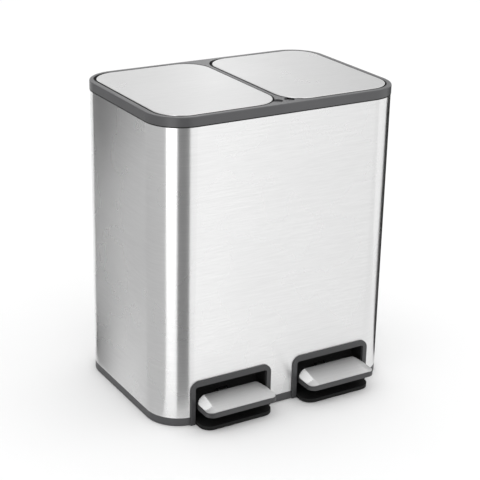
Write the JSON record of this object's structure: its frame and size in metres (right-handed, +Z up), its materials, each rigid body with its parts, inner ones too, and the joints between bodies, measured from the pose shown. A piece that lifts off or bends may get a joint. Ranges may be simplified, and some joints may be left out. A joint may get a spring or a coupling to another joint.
{
  "type": "double pedal recycling bin",
  "caption": "Free-standing recycling bin with paired compartments: brushed steel body, hinged steel lids, foot pedals that lift them, and removable inner buckets.",
  "frame": {"origin": "on the floor, at the middle of the footprint of the body and the pedals together", "axes": "+Z up, +X to the right as seen from the front, +Y to the back; the pedals are on the -Y side"},
  "size_m": [0.416, 0.3244, 0.487],
  "materials": {
    "brushed_steel": "fine horizontal brushing",
    "lid_steel": "fine brushing",
    "tread_steel": "fine brushing",
    "rim_plastic": "satin dark grey",
    "base_plastic": "satin dark grey",
    "trim_plastic": "satin dark grey",
    "pedal_plastic": "satin dark grey",
    "black_plastic": "moulded black",
    "bucket_plastic": "moulded with a fine grain",
    "handle_plastic": "moulded",
    "rubber": "plain",
    "zinc_steel": "zinc plated",
    "spring_steel": "blackened"
  },
  "bodies": {
    "root": {"outer_shell": "brushed_steel", "top_rim": "rim_plastic", "lid_bumpers": "rubber", "base": "base_plastic", "rubber_feet": "rubber", "axle_clips": "spring_steel", "pedal_surround_left": "trim_plastic", "pedal_axle_left": "zinc_steel", "rod_channel_left": "black_plastic", "bucket_left": "bucket_plastic", "bucket_handle_left": "handle_plastic", "pedal_surround_right": "trim_plastic", "pedal_axle_right": "zinc_steel", "rod_channel_right": "black_plastic", "bucket_right": "bucket_plastic", "bucket_handle_right": "handle_plastic"},
    "lid_left": {"lid_core_left": "black_plastic", "lid_panel_left": "lid_steel", "hinge_pin_left": "zinc_steel", "hinge_clip_left": "spring_steel"},
    "pedal_left": {"pedal_core_left": "pedal_plastic", "pedal_tread_left": "tread_steel", "pedal_screws_left": "zinc_steel", "pedal_lever_left": "zinc_steel"},
    "rod_left": {"push_rod_left": "zinc_steel", "rod_clips_left": "spring_steel"},
    "lid_right": {"lid_core_right": "black_plastic", "lid_panel_right": "lid_steel", "hinge_pin_right": "zinc_steel", "hinge_clip_right": "spring_steel"},
    "pedal_right": {"pedal_core_right": "pedal_plastic", "pedal_tread_right": "tread_steel", "pedal_screws_right": "zinc_steel", "pedal_lever_right": "zinc_steel"},
    "rod_right": {"push_rod_right": "zinc_steel", "rod_clips_right": "spring_steel"}
  },
  "joints": [
    {"name": "lid_left_open", "type": "hinge", "parent": "root", "child": "lid_left", "pos_m": [-0.10125, 0.13875, 0.482], "axis": [-1, 0, 0], "range_deg": [0, 75]},
    {"name": "pedal_left_press", "type": "hinge", "parent": "root", "child": "pedal_left", "pos_m": [-0.091, -0.03775, 0.024], "axis": [1, 0, 0], "range_deg": [0, 9.65]},
    {"name": "rod_left_lift", "type": "slide", "parent": "root", "child": "rod_left", "axis": [0, 0, 1], "range_m": [0, 0.0269]},
    {"name": "lid_right_open", "type": "hinge", "parent": "root", "child": "lid_right", "pos_m": [0.10125, 0.13875, 0.482], "axis": [-1, 0, 0], "range_deg": [0, 75]},
    {"name": "pedal_right_press", "type": "hinge", "parent": "root", "child": "pedal_right", "pos_m": [0.091, -0.03775, 0.024], "axis": [1, 0, 0], "range_deg": [0, 9.65]},
    {"name": "rod_right_lift", "type": "slide", "parent": "root", "child": "rod_right", "axis": [0, 0, 1], "range_m": [0, 0.0269]}
  ],
  "couplings": [
    {"joint": "lid_left_open", "follows": "pedal_left_press", "ratio": 7.772},
    {"joint": "rod_left_lift", "follows": "pedal_left_press", "m_per_rad": 0.15946},
    {"joint": "lid_right_open", "follows": "pedal_right_press", "ratio": 7.772},
    {"joint": "rod_right_lift", "follows": "pedal_right_press", "m_per_rad": 0.15946}
  ]
}
